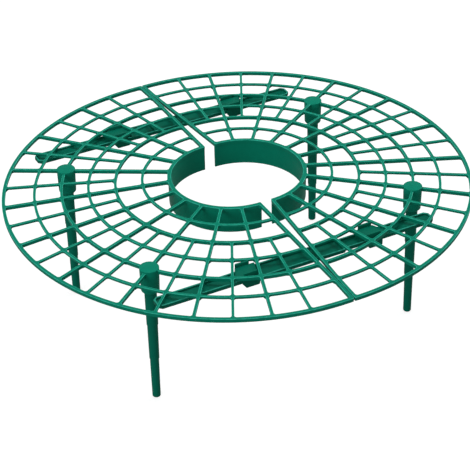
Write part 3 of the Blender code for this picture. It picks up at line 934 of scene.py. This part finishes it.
print("clip, mm:", round((far_clip - near_clip) * 1000, 2), "by", round(clip_half * 2000, 2))
print("channel corners, mm:", np.round(channel_plan(clip_half - CLIP_WALL, 0) * 1000, 1).tolist())

# %% [markdown]
# A connector is a shallow tray: a wide middle between the clips and a slimmer leaf at either end, with rails
# along both edges. One list of rows gives its outer wall, the rail on top and the inner wall. Its underside
# and its floor are flat faces with holes in them, because the clips grow out of the floor and are hollow
# underneath, as a moulding of even wall thickness has to be.

# %% Tray of a connector
CONNECTOR_LEFT = 0.1050
CONNECTOR_RIGHT = 0.0900
CONNECTOR_DEPTH = 0.0026
TRAY_FLOOR = 0.0011
TRAY_ROUND = 0.0006
RAIL_WIDTH = 0.0012
MIDDLE_HALF_LENGTH = 0.0300
MIDDLE_WIDENING = 0.0005
MIDDLE_SLANT = 0.0012
LEAF_STEP = 0.0008
LEAF_NARROWING = 0.0003
LEAF_CORNER = 0.0024
CHANNEL_WALL = 0.0012
CHANNEL_ROUND = 0.0003
HOLLOW_MARGIN = 0.00005
PLATE_EDGE = 0.0003

tray_wide = clip_half + MIDDLE_WIDENING
leaf_root = clip_half - LEAF_STEP
leaf_tip = leaf_root - LEAF_NARROWING
tray_centre = (CONNECTOR_RIGHT - CONNECTOR_LEFT) / 2
tray_floor = TRAY_FLOOR - CONNECTOR_DEPTH
hollow_plan = channel_plan(leaf_tip - RAIL_WIDTH - PLATE_EDGE - HOLLOW_MARGIN, CHANNEL_WALL)


def tray_outline():
    """Anticlockwise outline: cut tip, leaf, slanting step and wide middle, the same on both long sides."""
    right = tray_centre + MIDDLE_HALF_LENGTH
    left = tray_centre - MIDDLE_HALF_LENGTH
    upper = np.array([(CONNECTOR_RIGHT, leaf_tip - LEAF_CORNER), (CONNECTOR_RIGHT - LEAF_CORNER, leaf_tip),
                      (right + MIDDLE_SLANT, leaf_root), (right, tray_wide), (left, tray_wide),
                      (left - MIDDLE_SLANT, leaf_root), (LEAF_CORNER - CONNECTOR_LEFT, leaf_tip),
                      (-CONNECTOR_LEFT, leaf_tip - LEAF_CORNER)])
    return np.concatenate([upper, upper[::-1] * (1, -1)])


def placed_plan(plan, sign, outward):
    """Plan of a channel in the connector: mirrored where needed, and turned back to anticlockwise."""
    return ((plan + (HALF_OFFSET, 0)) * (sign, outward))[::sign * outward]


def build_tray(target, outward):
    """Outer wall, rail and inner wall with a rounded foot, then underside and floor with their holes."""
    rows = edge_rows(-CONNECTOR_DEPTH, 0, PLATE_EDGE)
    rows += bend_rows(RAIL_WIDTH, 0, -PLATE_EDGE, -PLATE_EDGE, wall_first=False)
    rows += bend_rows(RAIL_WIDTH, tray_floor, PLATE_EDGE, PLATE_EDGE)
    walls = slab_layers(tray_outline(), rows, TRAY_ROUND)
    # The rail tops and their rounded rims carry the full painted highlight.
    target.add_grid(walls, rub=[1.0 if height > -PLATE_EDGE / 2 else 0.0 for _, height in rows])
    through = [(0, -CONNECTOR_DEPTH), (0, tray_floor)]
    holes = [slab_layers(placed_plan(hollow_plan, sign, outward), through, CHANNEL_ROUND) for sign in (1, -1)]
    for layers in holes:
        target.add_grid(layers)
    for row in (0, -1):
        add_pierced_face(target, walls[row], [layers[row] for layers in holes])


print("tray, mm:", round((CONNECTOR_LEFT + CONNECTOR_RIGHT) * 1000, 1), "by", round(tray_wide * 2000, 2))

# %% [markdown]
# Three kinds of form stand on the tray. A wedge-shaped block fills most of each clip's cell and is hollow
# below. Upright ribs stiffen the wide middle. Two cheeks close each clip at its sides and widen below the
# grid into wings with one slanting side.

# %% Channels, ribs and cheeks
CLIP_RISE = 0.0050
CHANNEL_DEPTH = 0.0022
CROSS_RIB = 0.0012
MIDDLE_POCKETS = 3
RIB_SINK = 0.0001
RIB_ROUND = 0.0004
WING_DROP = 0.0034
WING_LEFT = 0.0008
WING_RIGHT = 0.0018
WING_SLANT = 0.0026
WING_CORNER = 0.0006
CHEEK_ROUND = 0.0005

channel_top = CLIP_RISE - CHANNEL_DEPTH
channel_reach = clip_half - CLIP_WALL + PLATE_EDGE / 2
rib_places = tray_centre + np.linspace(-MIDDLE_HALF_LENGTH, MIDDLE_HALF_LENGTH, MIDDLE_POCKETS + 1)


def build_channels(target, outward):
    """Blocks on the floor, each with a hollow below: two rounded tops and a flat ring between their feet."""
    foot = tray_floor - RIB_SINK
    top_rows = [(0, foot)] + bend_rows(0, channel_top, PLATE_EDGE, -PLATE_EDGE)
    roof_rows = [(DRAFT, foot)] + bend_rows(DRAFT, channel_top - CHANNEL_WALL, PLATE_EDGE, -PLATE_EDGE)
    block = channel_plan(channel_reach, 0)
    for sign in (1, -1):
        outside = slab_layers(placed_plan(block, sign, outward), top_rows, CHANNEL_ROUND)
        inside = slab_layers(placed_plan(hollow_plan, sign, outward), roof_rows, CHANNEL_ROUND)
        for layers in (outside, inside):
            target.add_grid(layers, caps=(len(layers) - 1,))
        add_pierced_face(target, outside[0], [inside[0]])


def build_cross_ribs(target):
    """Upright plates across the wide middle, at even steps from one end of it to the other."""
    rows = edge_rows(TRAY_FLOOR / 2 - CONNECTOR_DEPTH, -RIB_SINK, PLATE_EDGE)
    for x in rib_places:
        box = oblong(x - CROSS_RIB / 2, x + CROSS_RIB / 2, tray_wide - RAIL_WIDTH + PLATE_EDGE)
        build_slab(target, box, rows, RIB_ROUND)


def build_cheeks(target):
    """Cheeks of both clips: upright plates that widen below the grid into a wing with one slanting side."""
    wing = -CONNECTOR_DEPTH - WING_DROP
    for low, high in ((-far_clip, -near_clip), (near_clip, far_clip)):
        left = low - WING_LEFT
        right = high + WING_RIGHT
        cheek = [(left + WING_SLANT, wing), (right - WING_CORNER, wing), (right, wing + WING_CORNER),
                 (right, -OVERLAP), (high, -OVERLAP), (high, CLIP_RISE), (low, CLIP_RISE), (low, -OVERLAP),
                 (left, -OVERLAP), (left, -CONNECTOR_DEPTH)]
        for start, end in ((clip_half - CLIP_WALL, clip_half), (-clip_half, CLIP_WALL - clip_half)):
            build_slab(target, cheek, edge_rows(start, end, PLATE_EDGE), CHEEK_ROUND, upright=True)


print("cross ribs at, mm:", np.round(rib_places * 1000, 1).tolist())

# %% [markdown]
# The two connectors are mirror images. Each sits just under the lowest rib that it passes, so the undersides
# of all rings and bars above it are compared.

# %% Both connectors
def connector_top():
    """Height above the rim at which a connector clears the lowest rib that it passes under."""
    end = max(CONNECTOR_LEFT, CONNECTOR_RIGHT) - HALF_OFFSET
    rings_over = [r for r in range(CLIP_RING, BAYS + 1) if ring_radius[r] < math.hypot(end, far_y)]
    undersides = [cone_height(ring_radius[r] + ring_half[r]) - ring_depth[r] for r in rings_over]
    for bar in range(1, SECTORS // 2):
        turn = sector * bar
        if near_y * math.tan(turn) < end:
            crossing = min(far_y / math.cos(turn), end / math.sin(turn))
            undersides.append(cone_height(crossing) - bar_depth[bar])
    return min(undersides) - SEAT_GAP


for row, outward in (("back", 1), ("front", -1)):
    bar_skin = Skin()
    build_tray(bar_skin, outward)
    build_channels(bar_skin, outward)
    build_cross_ribs(bar_skin)
    build_cheeks(bar_skin)
    place = (0, outward * connector_y, STAND_HEIGHT + connector_top())
    finished(f"{row}_bridge", bar_skin, bar_skin.moved(place), CONNECTOR_GREEN_PAINTED_SHADE, f"connector_{row}",
             f"{row}_connector")

# %% [markdown]
# The support stands in a white studio. A floor that is white by its own colour throws so much light upwards
# that the shaded sides of the ribs go pale, so the floor is a mid grey that glows only where the camera looks
# at it directly. The plastic then gets a modest light from below, and the soft shadow stays.

# %% Floor
FLOOR_HALF = 4.0
FLOOR_GREY = 0.30
FLOOR_GLOW = 0.80
FLOOR_ROUGHNESS = 0.9

scene = bpy.context.scene
scene.view_settings.view_transform = "Standard"

material, tree, shader = new_material("floor")
set_inputs(shader, {"Base Color": (FLOOR_GREY, FLOOR_GREY, FLOOR_GREY, 1), "Roughness": FLOOR_ROUGHNESS,
                    "Specular IOR Level": 0.0, "Emission Color": (1, 1, 1, 1)})
path = add_node(tree, "ShaderNodeLightPath")
glow = math_node(tree, "MULTIPLY", path.outputs["Is Camera Ray"], FLOOR_GLOW)
link(tree, glow, shader.inputs["Emission Strength"])
corners = [(x * FLOOR_HALF, y * FLOOR_HALF, 0) for x, y in ((-1, -1), (1, -1), (1, 1), (-1, 1))]
floor_mesh = bpy.data.meshes.new("floor")
floor_mesh.from_pydata(corners, [], [(0, 1, 2, 3)])
floor_mesh.materials.append(material)
floor = add_object("floor", floor_mesh)
print("floor:", 2 * FLOOR_HALF, "m square")

# %% [markdown]
# One large disk overhead lights the top surfaces, and two weaker ones from the sides give the walls of the
# ribs, the collar and the sockets their tone. The tops must stay lighter than the walls, because that
# difference is all that shows the depth of a rib from this distance. An even white world fills the rest, and
# the camera sees it as pure white. A lamp has a place, a size and a power, and faces the middle of the rim.

# %% Lamps and world
WORLD_LIGHT = 0.42
LAMPS = {"overhead": ((0.1, 0.25, 1.6), 0.9, 11), "left": ((-1.5, -0.5, 0.7), 0.8, 9),
         "right": ((1.5, 0.3, 0.6), 0.8, 9)}

for name, (place, size, power) in LAMPS.items():
    light = bpy.data.lights.new(name, "AREA")
    light.shape = "DISK"
    light.size = size
    light.energy = power
    lamp = add_object(name, light)
    lamp.location = place
    lamp.rotation_euler = (Vector((0, 0, STAND_HEIGHT)) - Vector(place)).to_track_quat("-Z", "Y").to_euler()

world = bpy.data.worlds.new("studio")
scene.world = world
world.use_nodes = True
tree = world.node_tree
background = tree.nodes["Background"]
set_inputs(background, {"Color": (1, 1, 1, 1)})
seen = add_node(tree, "ShaderNodeLightPath")
level = band_node(tree, seen.outputs["Is Camera Ray"], (0.0, 1.0), WORLD_LIGHT)
link(tree, level, background.inputs["Strength"])
print("lamps:", ", ".join(LAMPS))
